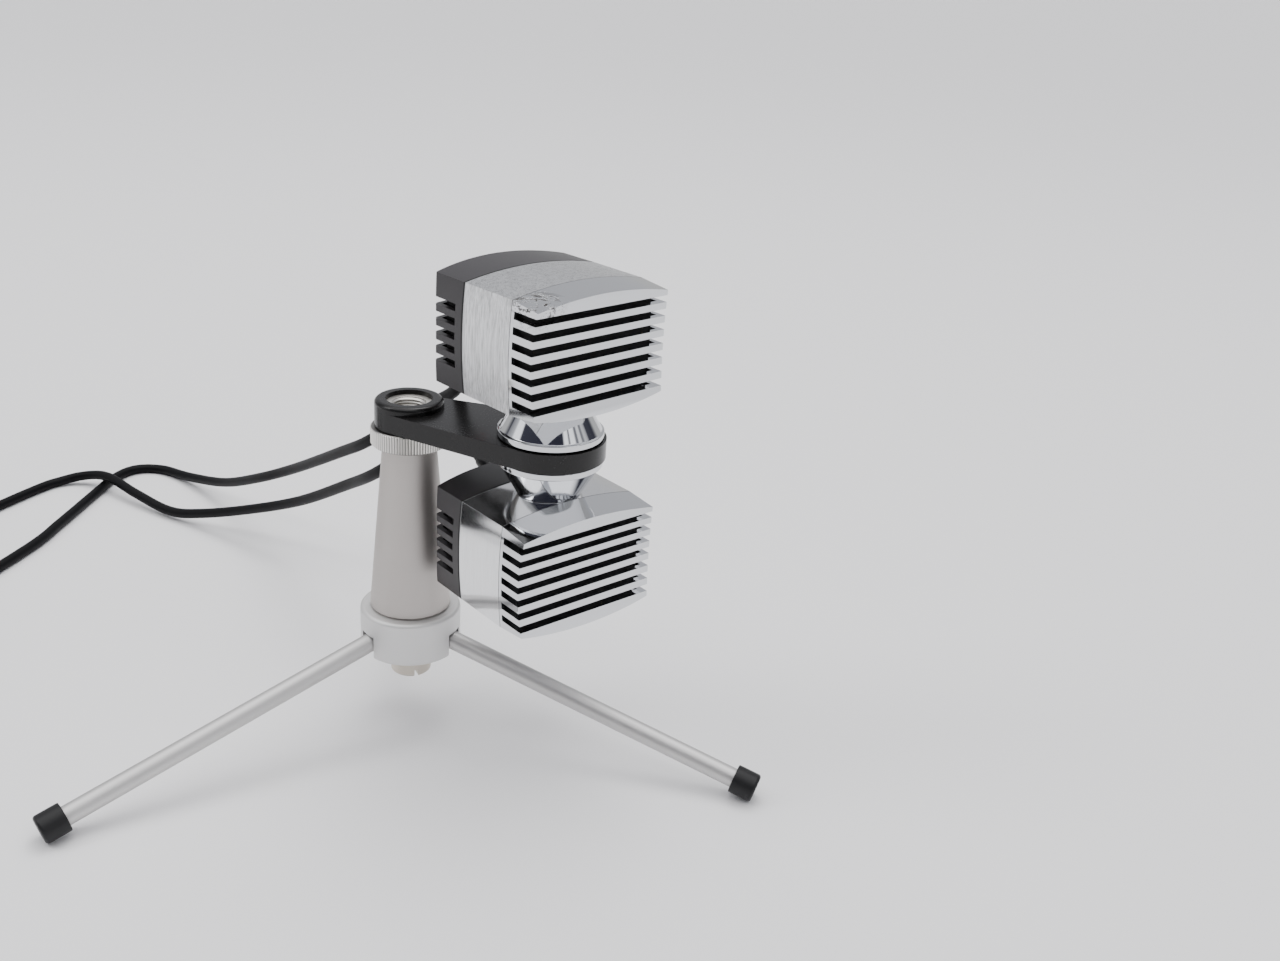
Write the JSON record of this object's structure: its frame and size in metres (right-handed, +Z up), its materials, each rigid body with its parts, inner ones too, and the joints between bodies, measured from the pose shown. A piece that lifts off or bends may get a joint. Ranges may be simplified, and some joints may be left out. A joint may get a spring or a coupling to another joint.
{
  "type": "stereo microphone",
  "caption": "Stereo microphone: boxy chrome-grilled heads swivel above and below a black arm, on a folding table tripod, with plugged cords.",
  "frame": {"origin": "on the table, at the middle of the box round the object without its cords", "axes": "+Z up along the column, +Y along the rear leg, +X to the right as seen from the front, along the line of the two front feet"},
  "size_m": [0.3436, 0.2529, 0.1461],
  "materials": {
    "hub_metal": "satin",
    "column_metal": "bead blasted",
    "screw_metal": "nickel",
    "steel": "turned",
    "ring_metal": "satin, knurled",
    "arm_plastic": "glossy",
    "bush_metal": "turned, threaded",
    "washer_brass": "plain",
    "leg_metal": "satin",
    "foot_rubber": "matt",
    "neck_chrome": "mirror",
    "sleeve_metal": "brushed",
    "grille_chrome": "bright",
    "dark_cloth": "fine weave",
    "dark_plastic": "matt",
    "capsule_metal": "satin",
    "cover_plastic": "semi-gloss",
    "cord_black": "smooth",
    "plug_black": "satin",
    "boot_red": "smooth",
    "boot_black": "smooth"
  },
  "bodies": {
    "stand": {"hub": "hub_metal", "column": "column_metal", "hub_screw": "screw_metal", "leg_pins": "steel"},
    "leg_left": {"leg_left": "leg_metal", "foot_left": "foot_rubber"},
    "leg_right": {"leg_right": "leg_metal", "foot_right": "foot_rubber"},
    "leg_rear": {"leg_rear": "leg_metal", "foot_rear": "foot_rubber"},
    "lock_ring": {"lock_ring": "ring_metal", "stud": "steel"},
    "arm": {"arm": "arm_plastic", "arm_bush": "bush_metal", "axle": "steel", "upper_washer": "washer_brass", "lower_washer": "washer_brass", "upper_keeper": "steel", "lower_keeper": "steel", "upper_cord": "cord_black", "upper_coil": "cord_black", "upper_plug": "plug_black", "lower_cord": "cord_black", "lower_coil": "cord_black", "lower_plug": "plug_black"},
    "upper_head": {"upper_neck": "neck_chrome", "upper_neck_stud": "steel", "upper_neck_nut": "steel", "upper_sleeve": "sleeve_metal", "upper_grille": "grille_chrome", "upper_cloth": "dark_cloth", "upper_baffle": "dark_plastic", "upper_capsule": "capsule_metal", "upper_cover": "cover_plastic", "upper_boot": "boot_red"},
    "lower_head": {"lower_neck": "neck_chrome", "lower_neck_stud": "steel", "lower_neck_nut": "steel", "lower_sleeve": "sleeve_metal", "lower_grille": "grille_chrome", "lower_cloth": "dark_cloth", "lower_baffle": "dark_plastic", "lower_capsule": "capsule_metal", "lower_cover": "cover_plastic", "lower_boot": "boot_black"}
  },
  "joints": [
    {"name": "leg_left_fold", "type": "hinge", "parent": "stand", "child": "leg_left", "pos_m": [-0.00866, -0.03149, 0.02963], "axis": [0.5, -0.866, 0], "range_deg": [0, 75.8]},
    {"name": "leg_right_fold", "type": "hinge", "parent": "stand", "child": "leg_right", "pos_m": [0.00866, -0.03149, 0.02963], "axis": [0.5, 0.866, 0], "range_deg": [0, 75.8]},
    {"name": "leg_rear_fold", "type": "hinge", "parent": "stand", "child": "leg_rear", "pos_m": [0, -0.01649, 0.02963], "axis": [-1, 0, 0], "range_deg": [0, 75.8]},
    {"name": "lock_ring_turn", "type": "hinge", "parent": "stand", "child": "lock_ring", "pos_m": [0, -0.02649, 0.09543], "axis": [0, 0, 1], "continuous": true},
    {"name": "arm_turn", "type": "hinge", "parent": "stand", "child": "arm", "pos_m": [0, -0.02649, 0.09543], "axis": [0, 0, 1], "range_deg": [-90, 90]},
    {"name": "upper_head_turn", "type": "hinge", "parent": "arm", "child": "upper_head", "pos_m": [0.03744, -0.04998, 0.09818], "axis": [0, 0, 1], "range_deg": [-90, 90]},
    {"name": "lower_head_turn", "type": "hinge", "parent": "arm", "child": "lower_head", "pos_m": [0.03744, -0.04998, 0.09818], "axis": [0, 0, 1], "range_deg": [-90, 90]}
  ]
}
